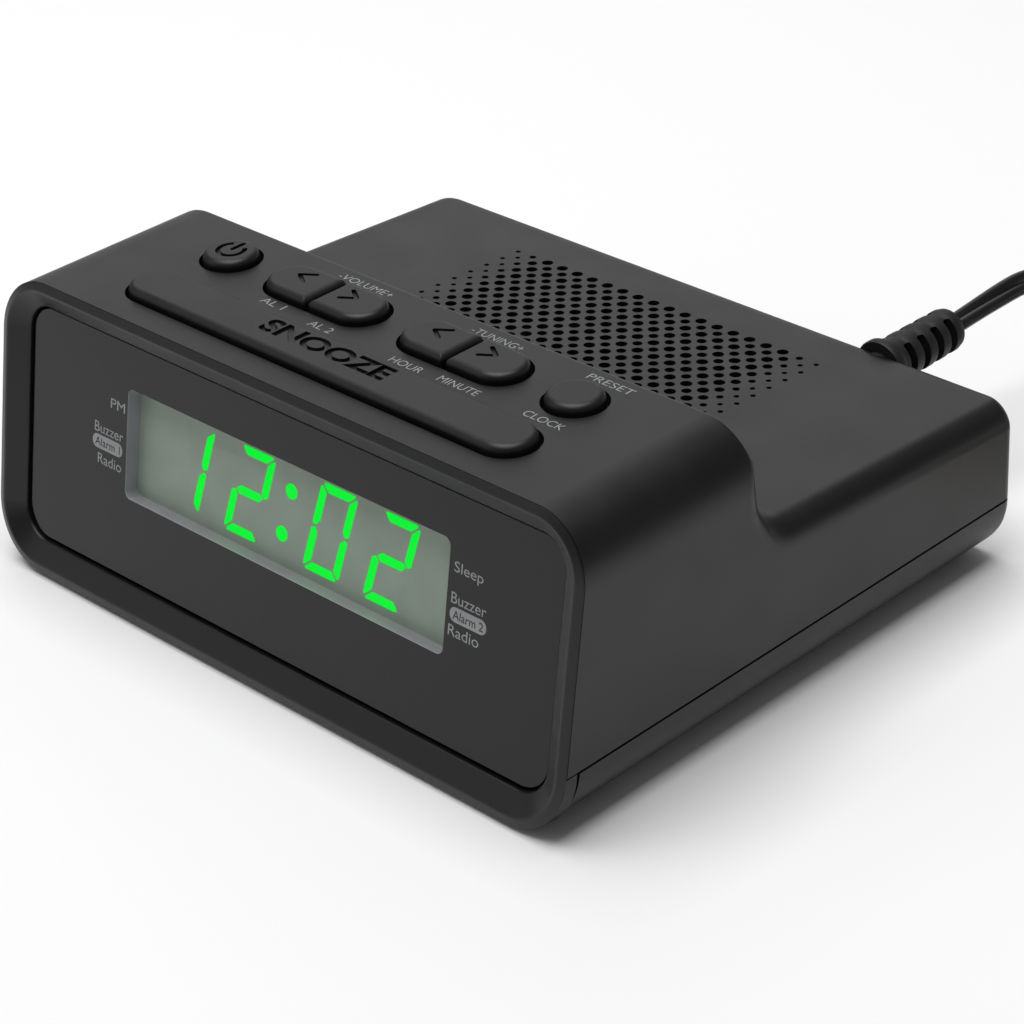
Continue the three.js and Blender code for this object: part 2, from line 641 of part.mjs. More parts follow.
function mainsLead() {
  const { x, z, end, base, tip, flange } = BOOT;
  const profile = [
    [0, REAR_Y - 3.4], [3.2, REAR_Y - 3.4], [3.2, REAR_Y + GAP], [flange, REAR_Y + GAP],
    [flange, REAR_Y + 2.6], [base, REAR_Y + 3.2], [tip, end], [0, end],
  ].map(([r, y]) => new THREE.Vector2(r, y));
  add("strain_relief", new THREE.LatheGeometry(profile, 16).translate(x, 0, z), rubber);
  add("cord_lead", cordTube(leadPoints, 9), rubber);
  const ring = [
    [COIL.inner, 0.1], [COIL.outer, 0.1], [COIL.outer, COIL.height], [COIL.inner, COIL.height], [COIL.inner, 0.1],
  ];
  add("cord_coil", lathe(ring, 36).translate(COIL.x, COIL.y, 0), rubber);
  add("cord_tail", cordTube(tailPoints, 2), rubber);

  const group = new THREE.Group();
  group.position.set(PLUG.x, PLUG.y, PLUG.z);
  group.rotation.z = -PLUG.heading;
  const section = (w, h) => roundedOutline(-w / 2, w / 2, -h / 2, h / 2, [h / 3, h / 3, h / 3, h / 3], 3);
  const bodyPart = (w0, h0, y0, w1, h1, y1) => {
    const geometry = prism(section(w0, h0), 0, y0 - y1, section(w1, h1));
    return solid(geometry.rotateX(Math.PI / 2).translate(0, y0, 0));
  };
  const plug = join(bodyPart(7, 7, 0, 9, 9, -8), bodyPart(22, 16, -7.9, 22, 16, -30));
  add("plug_body", plug, rubber, group);
  for (const side of [-1, 1]) {
    const bladeX = side * 6.35;
    const blade = box(bladeX - 0.8, bladeX + 0.8, -46, -30.3, -3.2, 3.2);
    add(side < 0 ? "plug_blade_left" : "plug_blade_right", blade, brass, group);
  }
  scene.add(group);
}

// ---------- assembly ----------
add("top_cabinet", upperCabinet(), matte);
add("bottom_cabinet", lowerCabinet(), matte);
add("battery_door", batteryDoor(), matte);
add("front_bezel", bezel(), matte);
frontGroup();
buttons();
keyBoard();
speaker();
transformer();
mainBoard();
antenna();
battery();
fasteners();
mainsLead();

export default scene;
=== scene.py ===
"""The looks of a mains clock radio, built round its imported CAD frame.

Shapes are worked out in millimetres and become metres where a mesh is made.
The front leans back, so pieces on it are drawn as (x, v, w): v runs up the front from its foot,
w points out of it, and w = 0 is the joint between the bezel and the cabinet.
"""
import math

import bmesh
import bpy
import numpy as np
from mathutils import Matrix, Quaternion, Vector


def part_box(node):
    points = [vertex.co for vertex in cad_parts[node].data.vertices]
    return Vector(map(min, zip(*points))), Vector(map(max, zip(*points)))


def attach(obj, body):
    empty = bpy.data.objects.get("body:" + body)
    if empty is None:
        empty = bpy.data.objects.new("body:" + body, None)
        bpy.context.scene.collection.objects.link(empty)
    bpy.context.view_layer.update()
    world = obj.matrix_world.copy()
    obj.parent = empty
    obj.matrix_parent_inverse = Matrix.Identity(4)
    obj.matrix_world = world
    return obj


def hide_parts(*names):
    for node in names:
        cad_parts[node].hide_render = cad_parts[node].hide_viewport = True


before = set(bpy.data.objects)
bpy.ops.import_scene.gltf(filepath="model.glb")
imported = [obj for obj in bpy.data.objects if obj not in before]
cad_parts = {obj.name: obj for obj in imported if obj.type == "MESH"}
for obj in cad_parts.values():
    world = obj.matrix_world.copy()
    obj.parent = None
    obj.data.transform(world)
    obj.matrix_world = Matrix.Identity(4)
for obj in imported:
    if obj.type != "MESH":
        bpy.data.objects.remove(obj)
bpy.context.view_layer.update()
MM = 0.001
CASE = "case"


def box_mm(node):
    """The lowest and highest corner of a CAD node, in millimetres."""
    low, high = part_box(node)
    return low / MM, high / MM


# ---------- camera ----------
CAMERA_AT = Vector((0.3692, -0.35035, 0.30583))
AZIMUTH = math.radians(46.128)
ELEVATION = math.radians(30.201)
ROLL = math.radians(-3.285)
LENS = 111.02


def make_camera():
    data = bpy.data.cameras.new("camera")
    data.lens = LENS
    data.sensor_width = 36
    camera = bpy.data.objects.new("camera", data)
    level = math.cos(ELEVATION)
    back = Vector((math.sin(AZIMUTH) * level, -math.cos(AZIMUTH) * level, math.sin(ELEVATION)))
    camera.rotation_mode = "QUATERNION"
    turn = (-back).to_track_quat("-Z", "Y")
    camera.rotation_quaternion = turn @ Quaternion((0, 0, 1), ROLL)
    camera.location = CAMERA_AT
    bpy.context.scene.collection.objects.link(camera)
    bpy.context.scene.camera = camera


make_camera()


# ---------- mesh helpers ----------
def new_piece(name, points, faces):
    """A mesh object from points in millimetres, with its faces turned outwards."""
    mesh = bpy.data.meshes.new(name)
    mesh.from_pydata([Vector(point) * MM for point in points], [], faces)
    work = bmesh.new()
    work.from_mesh(mesh)
    bmesh.ops.recalc_face_normals(work, faces=work.faces)
    work.to_mesh(mesh)
    work.free()
    piece = bpy.data.objects.new(name, mesh)
    bpy.context.scene.collection.objects.link(piece)
    return piece


def loft(name, rings, closed=False):
    """A skin over rings with equally many points. Its ends are capped, or its last ring meets its first."""
    count = len(rings[0])
    points = [point for ring in rings for point in ring]
    faces = []
    for ring in range(len(rings) if closed else len(rings) - 1):
        here = ring * count
        after = (ring + 1) % len(rings) * count
        for side in range(count):
            turn = (side + 1) % count
            faces.append((here + side, here + turn, after + turn, after + side))
    if not closed:
        faces.append(tuple(range(count)))
        faces.append(tuple(range((len(rings) - 1) * count, len(rings) * count)))
    return new_piece(name, points, faces)


def rounded(x0, x1, y0, y1, radii, segments=12):
    """A rectangle's outline with round corners: bottom left, bottom right, top right, top left."""
    left_low, right_low, right_high, left_high = radii
    corners = (
        (x0 + left_low, y0 + left_low, left_low, 180),
        (x1 - right_low, y0 + right_low, right_low, 270),
        (x1 - right_high, y1 - right_high, right_high, 0),
        (x0 + left_high, y1 - left_high, left_high, 90),
    )
    outline = []
    for cx, cy, radius, start in corners:
        for step in range(segments + 1):
            angle = math.radians(start + 90 * step / segments)
            outline.append((cx + radius * math.cos(angle), cy + radius * math.sin(angle)))
    return outline


def prism(name, outline, low, high):
    return loft(name, [[(x, y, z) for x, y in outline] for z in (low, high)])


def block(name, x0, x1, y0, y1, z0, z1):
    return prism(name, [(x0, y0), (x1, y0), (x1, y1), (x0, y1)], z0, z1)


def circle(radius, sides, cx=0.0, cy=0.0):
    angles = (2 * math.pi * side / sides for side in range(sides))
    return [(cx + radius * math.cos(angle), cy + radius * math.sin(angle)) for angle in angles]


def turned(name, profile, sides=32):
    """A solid turned about Z from (radius, z) points that start and end on the axis."""
    points = [(0, 0, profile[0][1])]
    rings = profile[1:-1]
    for radius, z in rings:
        points += [(x, y, z) for x, y in circle(radius, sides)]
    points.append((0, 0, profile[-1][1]))
    top = len(points) - 1
    faces = []
    for side in range(sides):
        turn = (side + 1) % sides
        faces.append((0, 1 + turn, 1 + side))
        for ring in range(len(rings) - 1):
            a = 1 + ring * sides
            b = a + sides
            faces.append((a + side, a + turn, b + turn, b + side))
        last = 1 + (len(rings) - 1) * sides
        faces.append((last + side, last + turn, top))
    return new_piece(name, points, faces)


def settle(piece):
    """Turns a piece's modifiers into its mesh."""
    graph = bpy.context.evaluated_depsgraph_get()
    mesh = bpy.data.meshes.new_from_object(piece.evaluated_get(graph))
    piece.modifiers.clear()
    piece.data = mesh


def make_up(piece):
    """A mesh's point count and the sum of its coordinates, to tell whether it changed."""
    places = np.array([vertex.co for vertex in piece.data.vertices])
    return len(places), float(np.abs(places).sum())


def carve(piece, tool, operation="DIFFERENCE"):
    """Cuts the tool out of the piece, or joins it on, and takes the tool away."""
    step = piece.modifiers.new("carve", "BOOLEAN")
    step.operation = operation
    step.solver = "MANIFOLD"
    step.object = tool
    before = make_up(piece)
    settle(piece)
    after = make_up(piece)
    if before == after or after[0] == 0:
        raise RuntimeError(f"{tool.name} changed nothing on {piece.name}, or left nothing of it")
    bpy.data.objects.remove(tool)


def merged(name, pieces):
    """One object from several that don't touch."""
    work = bmesh.new()
    for piece in pieces:
        piece.data.transform(piece.matrix_world)
        work.from_mesh(piece.data)
    mesh = bpy.data.meshes.new(name)
    work.to_mesh(mesh)
    work.free()
    for piece in pieces:
        bpy.data.objects.remove(piece)
    whole = bpy.data.objects.new(name, mesh)
    bpy.context.scene.collection.objects.link(whole)
    return whole


def smooth(piece, angle=32):
    """Smooth shading that keeps flat faces flat and edges over the angle crisp."""
    piece.data.polygons.foreach_set("use_smooth", [True] * len(piece.data.polygons))
    piece.data.set_sharp_from_angle(angle=math.radians(angle))
    weighted = piece.modifiers.new("weighted", "WEIGHTED_NORMAL")
    weighted.keep_sharp = True


def finish_piece(piece, material, nodes=(), body=CASE, angle=32):
    """Shades a piece, gives it its material and slot, says what it rides on and hides the CAD nodes it stands
    for.
    """
    smooth(piece, angle)
    piece.data.materials.clear()
    piece.data.materials.append(material)
    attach(piece, body)
    if nodes:
        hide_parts(*nodes)
    return piece


# ---------- materials ----------
def principled(name, colour, roughness, metallic=0.0, ior=1.5):
    material = bpy.data.materials.new(name)
    material.use_nodes = True
    shader = material.node_tree.nodes["Principled BSDF"]
    shader.inputs["Base Color"].default_value = (*colour, 1)
    shader.inputs["Roughness"].default_value = roughness
    shader.inputs["Metallic"].default_value = metallic
    shader.inputs["IOR"].default_value = ior
    return material


def noise(material, scale, detail=3.0):
    """A noise texture that sits still on the object."""
    tree = material.node_tree
    place = tree.nodes.new("ShaderNodeTexCoord")
    texture = tree.nodes.new("ShaderNodeTexNoise")
    texture.inputs["Scale"].default_value = scale
    texture.inputs["Detail"].default_value = detail
    tree.links.new(place.outputs["Object"], texture.inputs["Vector"])
    return texture


def ramp(material, source, low, high, start=0.3, end=0.7):
    tree = material.node_tree
    spread = tree.nodes.new("ShaderNodeMapRange")
    spread.inputs["From Min"].default_value = start
    spread.inputs["From Max"].default_value = end
    spread.inputs["To Min"].default_value = low
    spread.inputs["To Max"].default_value = high
    tree.links.new(source, spread.inputs["Value"])
    return spread.outputs["Result"]


def grain(material, scale, depth):
    """A fine moulded grain, depth in metres."""
    tree = material.node_tree
    texture = noise(material, scale, 4)
    bump = tree.nodes.new("ShaderNodeBump")
    bump.inputs["Distance"].default_value = depth
    tree.links.new(texture.outputs["Fac"], bump.inputs["Height"])
    tree.links.new(bump.outputs["Normal"], tree.nodes["Principled BSDF"].inputs["Normal"])


def vary_roughness(material, scale, low, high):
    """Faint handling marks: the roughness drifts between low and high."""
    texture = noise(material, scale, 5)
    value = ramp(material, texture.outputs["Fac"], low, high)
    shader = material.node_tree.nodes["Principled BSDF"]
    material.node_tree.links.new(value, shader.inputs["Roughness"])


def vary_colour(material, scale, dark, light):
    """Faint unevenness of tint between two colours."""
    tree = material.node_tree
    texture = noise(material, scale, 4)
    colours = tree.nodes.new("ShaderNodeValToRGB")
    colours.color_ramp.elements[0].position = 0.35
    colours.color_ramp.elements[0].color = (*dark, 1)
    colours.color_ramp.elements[1].position = 0.65
    colours.color_ramp.elements[1].color = (*light, 1)
    tree.links.new(texture.outputs["Fac"], colours.inputs["Fac"])
    tree.links.new(colours.outputs["Color"], tree.nodes["Principled BSDF"].inputs["Base Color"])


def moulded(name, dark, light, rough, grain_scale, grain_depth):
    """A moulded plastic, rubber or paint: two tints, a range of roughness and a fine grain."""
    material = principled(name, light, rough[0], ior=1.45)
    vary_colour(material, 180, dark, light)
    vary_roughness(material, 90, *rough)
    grain(material, grain_scale, grain_depth)
    return material


cabinet_plastic = moulded(
    "cabinet_plastic", (0.0034, 0.0034, 0.0035), (0.0041, 0.0041, 0.0043), (0.36, 0.42), 5200, 0.000012)
bezel_plastic = moulded(
    "bezel_plastic", (0.0034, 0.0034, 0.0035), (0.004, 0.004, 0.0042), (0.36, 0.42), 5200, 0.000008)
key_rubber = moulded(
    "key_rubber", (0.0044, 0.0044, 0.0045), (0.0052, 0.0052, 0.0054), (0.4, 0.46), 6000, 0.00001)
boot_rubber = moulded(
    "boot_rubber", (0.006, 0.0058, 0.0056), (0.0075, 0.0073, 0.007), (0.5, 0.6), 4200, 0.00001)
foot_rubber = moulded(
    "foot_rubber", (0.012, 0.012, 0.012), (0.02, 0.02, 0.02), (0.7, 0.8), 2500, 0.00003)
cord_pvc = moulded(
    "cord_pvc", (0.0045, 0.0045, 0.0045), (0.006, 0.006, 0.006), (0.26, 0.34), 2500, 0.00001)
inner_plastic = moulded(
    "inner_plastic", (0.1, 0.1, 0.105), (0.13, 0.13, 0.135), (0.5, 0.6), 3000, 0.00001)
# A light grey for the window's walls: painted light that stands in for light let through the clear lens's
# edges.
rim_painted_light = moulded(
    "rim_painted_light", (0.33, 0.33, 0.355), (0.36, 0.36, 0.385), (0.4, 0.5), 3000, 0.000006)
circuit_board = moulded(
    "circuit_board", (0.012, 0.07, 0.028), (0.02, 0.11, 0.045), (0.35, 0.5), 1500, 0.00002)
cone_paper = moulded(
    "cone_paper", (0.012, 0.011, 0.01), (0.022, 0.02, 0.018), (0.85, 0.95), 2600, 0.00006)
# Dark ferrite and black parts; on the speaker basket this colour is painted shade.
dark_ferrite = moulded(
    "dark_ferrite", (0.02, 0.019, 0.018), (0.035, 0.033, 0.031), (0.6, 0.75), 1800, 0.00003)
cell_wrap = moulded(
    "cell_wrap", (0.12, 0.13, 0.16), (0.16, 0.17, 0.2), (0.3, 0.4), 900, 0.00001)


def metal(name, colour, rough):
    """A bare metal with fine scratches, as a range of roughness."""
    material = principled(name, colour, rough[0], metallic=1.0)
    vary_roughness(material, 400, *rough)
    grain(material, 3000, 0.000004)
    return material


steel = metal("steel", (0.55, 0.55, 0.56), (0.28, 0.42))
copper_wire = metal("copper_wire", (0.62, 0.26, 0.12), (0.35, 0.5))
brass = metal("brass", (0.72, 0.53, 0.26), (0.18, 0.3))

panel_gloss = principled("panel_gloss", (0.002, 0.002, 0.0023), 0.16, ior=1.38)
vary_roughness(panel_gloss, 60, 0.13, 0.2)
diffuser_green = moulded(
    "diffuser_green", (0.32, 0.395, 0.325), (0.35, 0.43, 0.355), (0.4, 0.5), 1200, 0.0000005)
legend_ink = moulded(
    "legend_ink", (0.24, 0.25, 0.255), (0.28, 0.29, 0.295), (0.5, 0.6), 4000, 0.000004)


def make_glow():
    material = principled("digit_glow", (0.0, 0.02, 0.001), 0.6)
    shader = material.node_tree.nodes["Principled BSDF"]
    shader.inputs["Specular IOR Level"].default_value = 0.0
    shader.inputs["Emission Color"].default_value = (0.0, 0.9, 0.035, 1)
    shader.inputs["Emission Strength"].default_value = 1.15
    return material


def make_window_clear():
    material = principled("window_clear", (0.02, 0.022, 0.021), 0.12, ior=1.4)
    vary_roughness(material, 60, 0.1, 0.15)
    material.node_tree.nodes["Principled BSDF"].inputs["Alpha"].default_value = 0.08
    return material


digit_glow = make_glow()
window_clear = make_window_clear()

# ---------- mains lead ----------
LOBE_RADIUS = 1.25
LOBE_OFFSET = 1.1
# The same route as the CAD lead, from the boot down to the surface.
LEAD_POINTS = (
    (42.2, 82.7, 29.2),
    (42.2, 88.0, 29.5),
    (42.2, 94.0, 29.8),
    (42.2, 100.0, 30.0),
    (42.2, 104.5, 29.9),
    (42.4, 108.6, 29.3),
    (42.8, 112.5, 28.0),
    (43.3, 116.0, 26.0),
    (43.9, 119.1, 23.2),
    (44.5, 121.7, 19.8),
    (45.1, 123.8, 16.0),
    (45.7, 125.8, 12.2),
    (46.6, 128.3, 8.9),
    (47.7, 131.4, 6.2),
    (49.0, 134.9, 4.2),
    (50.3, 138.6, 3.0),
    (51.7, 142.3, 2.5),
)
TAIL_POINTS = (
    (116.4, 124.6, 7.6),
    (115.6, 120.0, 7.9),
    (114.65, 114.9, 8.2),
)
COIL_CENTRE = (88.0, 148.0)
COIL_OUTER = 32.0
COIL_PITCH = 2.7
COIL_START = 160.0
COIL_SWEEP = 3050.0
LAYER_HEIGHTS = (2.5, 7.5)
CLIMB = 90.0  # degrees over which the lead climbs to the upper layer


def ease(value):
    value = min(max(value, 0.0), 1.0)
    return value * value * (3 - 2 * value)


def coil_points(count=407):
    """Two flat spirals, one on the other: inwards on the surface, then outwards above."""
    points = []
    half = COIL_SWEEP / 2
    low, high = LAYER_HEIGHTS
    for sweep in np.linspace(0, COIL_SWEEP, count):
        inward = half - abs(sweep - half)
        radius = COIL_OUTER - COIL_PITCH * inward / 360
        angle = math.radians(COIL_START - sweep)
        rise = ease((sweep - half + CLIMB / 2) / CLIMB)
        points.append((
            COIL_CENTRE[0] + radius * math.cos(angle),
            COIL_CENTRE[1] + radius * math.sin(angle),
            low + (high - low) * rise,
        ))
    return points


def spline(points, step):
    """Points at even steps along a smooth curve through the given ones."""
    given = np.array(points, float)
    ends = np.vstack((2 * given[0] - given[1], given, 2 * given[-1] - given[-2]))
    fine = []
    for a, b, c, d in zip(ends[:-3], ends[1:-2], ends[2:-1], ends[3:]):
        for t in np.linspace(0, 1, 24, endpoint=False):
            fine.append(0.5 * (
                2 * b + (c - a) * t + (2 * a - 5 * b + 4 * c - d) * t**2 + (3 * b - a - 3 * c + d) * t**3))
    fine.append(given[-1])
    fine = np.array(fine)
    run = np.concatenate(([0], np.cumsum(np.linalg.norm(np.diff(fine, axis=0), axis=1))))
    marks = np.linspace(0, run[-1], int(run[-1] / step) + 1)
    return np.column_stack([np.interp(marks, run, fine[:, axis]) for axis in range(3)])


def cord_section(sides=20):
    """Two round cores side by side with a waist between them, as (wide, thick)."""
    section = []
    for side in range(sides):
        angle = 2 * math.pi * side / sides
        wide = math.cos(angle)
        rise = math.sin(angle)
        reach = LOBE_OFFSET * wide + LOBE_RADIUS * wide
        across = abs(reach) - LOBE_OFFSET
        thick = math.sqrt(max(LOBE_RADIUS**2 - across**2, 0))
        section.append((reach, math.copysign(thick, rise) if abs(rise) > 1e-6 else 0.0))
    return section


def cord_route():
    lead = spline(LEAD_POINTS + (coil_points()[0],), 1.2)
    tail = spline((coil_points()[-1],) + TAIL_POINTS, 1.2)
    return np.vstack((lead[:-1], np.array(coil_points()), tail[1:])), len(lead)


def make_cord():
    """The flat twin lead lies flat at the boot and turns on edge before it reaches the coil."""
    route, lead_count = cord_route()
    along = np.gradient(route, axis=0)
    along /= np.linalg.norm(along, axis=1)[:, None]
    section = cord_section()
    rings = []
    for index, (place, forward) in enumerate(zip(route, along)):
        level = np.cross(forward, (0, 0, 1))
        level /= np.linalg.norm(level)
        upright = np.cross(level, forward)
        turn = -math.pi / 2 * ease((index / lead_count + 0.03) / 0.6)
        wide_way = math.cos(turn) * level + math.sin(turn) * upright
        thick_way = np.cross(forward, wide_way)
        rings.append([tuple(place + wide * wide_way + thick * thick_way) for wide, thick in section])
    cord = loft("mains_cord", rings)
    finish_piece(cord, cord_pvc, ("cord_lead", "cord_coil", "cord_tail"), angle=60)
    return cord, route


mains_cord, cord_line = make_cord()


PLUG_AT = Vector((114.6, 114.4, 8.2))
PLUG_HEADING = math.radians(-10)


def make_plug():
    """A moulded two-blade plug with a tapered neck, finger grooves and a flat face."""
    turn = Matrix.Rotation(PLUG_HEADING, 4, "Z")
    # How far back each section lies, then its half width and half height.
    rows = (
        (0.0, 3.3, 3.3), (0.6, 3.5, 3.5), (7.0, 4.2, 4.2), (8.5, 6.5, 5.6), (10.5, 9.6, 7.2),
        (12.5, 10.6, 7.8), (15.0, 10.9, 7.95), (16.0, 10.3, 7.4), (17.0, 10.3, 7.4), (18.0, 10.9, 7.95),
        (19.0, 10.3, 7.4), (20.0, 10.3, 7.4), (21.0, 10.9, 7.95), (22.0, 10.3, 7.4), (23.0, 10.3, 7.4),
        (24.0, 10.95, 7.95), (28.8, 10.95, 7.95), (29.6, 10.6, 7.6), (30.0, 10.0, 7.0),
    )
    rings = []
    for back, half_width, half_height in rows:
        corner = min(half_width, half_height) * 0.62
        outline = rounded(-half_width, half_width, -half_height, half_height, [corner] * 4, 6)
        rings.append([tuple(turn @ Vector((x, -back, z)) + PLUG_AT) for x, z in outline])
    plug = loft("mains_plug", rings)
    return finish_piece(plug, cord_pvc, ("plug_body",), angle=40)


mains_plug = make_plug()

# ---------- sizes taken from the frame ----------
top_low, top_high = box_mm("top_cabinet")
base_low, _ = box_mm("bottom_cabinet")
bezel_low, _ = box_mm("front_bezel")
HALF = top_high.x
REAR_Y = top_high.y
TOP_Z = top_high.z
SEAM_Z = top_low.z
BASE_Z = base_low.z
WALL = 2.0
TILT = math.radians(10.5)
RIDGE_INSET = 1.7
RIDGE_PROUD = 0.6  # the ridge is the foremost line of the CAD bezel
LIP_INSET = 5.7
TOP_SHARE = 0.87  # the frame is narrower along its top
PANEL_W = -2.4
PANEL_THICK = 1.5
DIFFUSER_W = -5.4
FRONT_FOOT_Y = bezel_low.y + RIDGE_PROUD * math.cos(TILT) - RIDGE_INSET * math.sin(TILT)
FRONT_HEIGHT = (TOP_Z - BASE_Z) / math.cos(TILT)
FRONT = Matrix((
    (1, 0, 0, 0),
    (0, math.sin(TILT), -math.cos(TILT), FRONT_FOOT_Y * MM),
    (0, math.cos(TILT), math.sin(TILT), BASE_Z * MM),
    (0, 0, 0, 1),
))


def on_front(piece):
    """Moves a piece drawn as (x, v, w) onto the leaning front."""
    piece.data.transform(FRONT)
    return piece


def ahead_of(w):
    """A block that holds everything ahead of the plane w in the front's frame."""
    return on_front(block("ahead", -100, 100, -40, 100, w, 70))


# ---------- upper cabinet ----------
BLOCK_RADIUS = 11.3
DECK_RADIUS = 4.8
DECK_FRONT_Z = 36.1
DECK_SLOPE = 0.048
STEP_TOP_Y = -9.7
STEP_FOOT_Y = -8.3
STEP_FILLET = 8.0
STEP_EDGE = 1.1
SIDE_ROLL = 4.0
REAR_EDGE = 0.8
REAR_CORNER = 2.6
SEAM_GAP = 0.45
MIDDLE_Z = 25.5  # the sides have coarse rows below it and fine rows above it
BOSS_PLACES = [(x, y) for x in (-66, 66) for y in (-44, 50)]
PILLAR_RADIUS = 3.4  # the upper pillars that the case screws bite into
BOSS_RADIUS = 4.8  # the lower bosses that the screws pass through
SCREW_RADIUS = 1.6
HOLE_RADIUS = 6.0
KEY_ROW_Y = -21.2
SNOOZE_Y = -38.1
PAIR_X = 17.4
PAIR_REACH = 8.5
SNOOZE_REACH = 44.3
SINGLE_X = 43.5


def deck_height(y):
    return DECK_FRONT_Z - DECK_SLOPE * (y - STEP_FOOT_Y)


def corner_radius(top):
    share = (top - DECK_FRONT_Z) / (TOP_Z - DECK_FRONT_Z)
    return DECK_RADIUS + (BLOCK_RADIUS - DECK_RADIUS) * min(max(share, 0), 1)


def cabinet_stations():
    """From front to rear: (y, top height, corner radius, inset of both sides)."""
    rows = [(y, TOP_Z, BLOCK_RADIUS, 0) for y in (-75, -16)]
    rows += [(STEP_TOP_Y - STEP_EDGE - 0.2 * step, TOP_Z, BLOCK_RADIUS, 0) for step in range(10, 0, -1)]
    for step in range(7):
        angle = math.radians(15 * step)
        drop = STEP_EDGE * (1 - math.cos(angle))
        rows.append((STEP_TOP_Y - STEP_EDGE * (1 - math.sin(angle)), TOP_Z - drop, BLOCK_RADIUS, 0))
    wall_top = TOP_Z - STEP_EDGE
    wall_foot = DECK_FRONT_Z + STEP_FILLET
    for step in range(1, 12):
        share = step / 12
        top = wall_top + (wall_foot - wall_top) * share
        rows.append((STEP_TOP_Y + (STEP_FOOT_Y - STEP_TOP_Y) * share, top, corner_radius(top), 0))
    for step in range(25):
        angle = math.pi / 2 * step / 24
        top = DECK_FRONT_Z + STEP_FILLET * (1 - math.sin(angle))
        rows.append((STEP_FOOT_Y + STEP_FILLET * (1 - math.cos(angle)), top, corner_radius(top), 0))
    for step in range(6):
        angle = math.radians(18 * step)
        fade = 1 - math.cos(angle)
        y = REAR_Y - REAR_CORNER * (1 - math.sin(angle))
        rows.append((y, deck_height(y) - REAR_EDGE * fade, DECK_RADIUS, REAR_CORNER * fade))
    return rows


def step_depth(y, z):
    """How far a point of the side lies inside the line of the step's wall and fillet."""
    centre_y = STEP_FOOT_Y + STEP_FILLET
    centre_z = DECK_FRONT_Z + STEP_FILLET
    if z > centre_z:
        share = (TOP_Z - z) / (TOP_Z - centre_z)
        depth = STEP_TOP_Y + (STEP_FOOT_Y - STEP_TOP_Y) * share - y
    elif y < centre_y:
        depth = math.hypot(y - centre_y, z - centre_z) - STEP_FILLET
    else:
        depth = deck_height(y) - z
    return max(depth, 0)


def rolled(y, z):
    """How far the side draws in where it rolls over into the step's wall."""
    depth = step_depth(y, z)
    if depth >= SIDE_ROLL:
        return 0
    return SIDE_ROLL - math.sqrt(SIDE_ROLL**2 - (SIDE_ROLL - depth) ** 2)


def cabinet_section(y, top, radius, around, inset=0.0, floor=None):
    """One section of the upper cabinet, from its right foot over the top to its left foot."""
    side = HALF - around - inset
    foot = SEAM_Z if floor is None else floor
    radius = radius - inset
    top = top - inset
    right = [(side, foot + (MIDDLE_Z - foot) * step / 3) for step in range(3)]
    right += [(side, MIDDLE_Z + (top - radius - MIDDLE_Z) * step / 22) for step in range(22)]
    for step in range(17):
        angle = math.pi / 2 * step / 16
        right.append((side - radius * (1 - math.cos(angle)), top - radius * (1 - math.sin(angle))))
    right += [((side - radius) * (1 - step / 3), top) for step in (1, 2)]
    if not inset:
        right = [(min(x, side - rolled(y, z)) if x > side - radius else x, z) for x, z in right]
    left = [(-x, z) for x, z in reversed(right)]
    return [(x, y, z) for x, z in right + [(0, top)] + left]


def cabinet_cavity():
    """The hollow inside the upper cabinet, a wall's thickness within it."""
    rings = []
    for y, top, radius, around in cabinet_stations():
        if around:
            continue
        back = y - WALL if y < STEP_FOOT_Y + STEP_FILLET + 1 else min(y, REAR_Y - WALL)
        rings.append(cabinet_section(back, top, radius, 0, WALL, SEAM_Z - 5))
    return loft("cavity", rings)


def stadium(cx, cy, reach, radius, segments=12):
    """A slot with round ends, whose end centres lie a reach to each side."""
    corner = radius - 0.001
    return rounded(cx - reach - radius, cx + reach + radius, cy - radius, cy + radius, [corner] * 4, segments)


GRILLE_PITCH = 4.054
GRILLE_ROW = 2.233
GRILLE_X = -1.0
GRILLE_REAR_Y = 48.45
GRILLE_ROWS = 21


def grille_holes():
    """(x, y, radius) of each hole: a diamond lattice whose two outer columns shrink at each side."""
    holes = []
    for row in range(GRILLE_ROWS):
        odd = row % 2
        count = 19 if odd else 20
        full = 0.48 if odd else 0.56
        for column in range(count):
            from_edge = min(column, count - 1 - column)
            if from_edge == 0:
                share = 0.26
            elif from_edge == 1 and not odd:
                share = 0.35
            else:
                share = full
            x = GRILLE_X + (column - (count - 1) / 2) * GRILLE_PITCH
            holes.append((x, GRILLE_REAR_Y - GRILLE_ROW * row, share * GRILLE_PITCH / 2))
    return holes


def hole_field(holes, low, high, sides=20):
    """All the grille's holes as one mesh of pins, to cut in one go."""
    points = []
    faces = []
    for x, y, radius in holes:
        first = len(points)
        points += [(a, b, low) for a, b in circle(radius, sides, x, y)]
        points += [(a, b, high) for a, b in circle(radius, sides, x, y)]
        for side in range(sides):
            turn = (side + 1) % sides
            faces.append((first + side, first + turn, first + sides + turn, first + sides + side))
        faces.append(tuple(reversed(range(first, first + sides))))
        faces.append(tuple(range(first + sides, first + 2 * sides)))
    return new_piece("holes", points, faces)


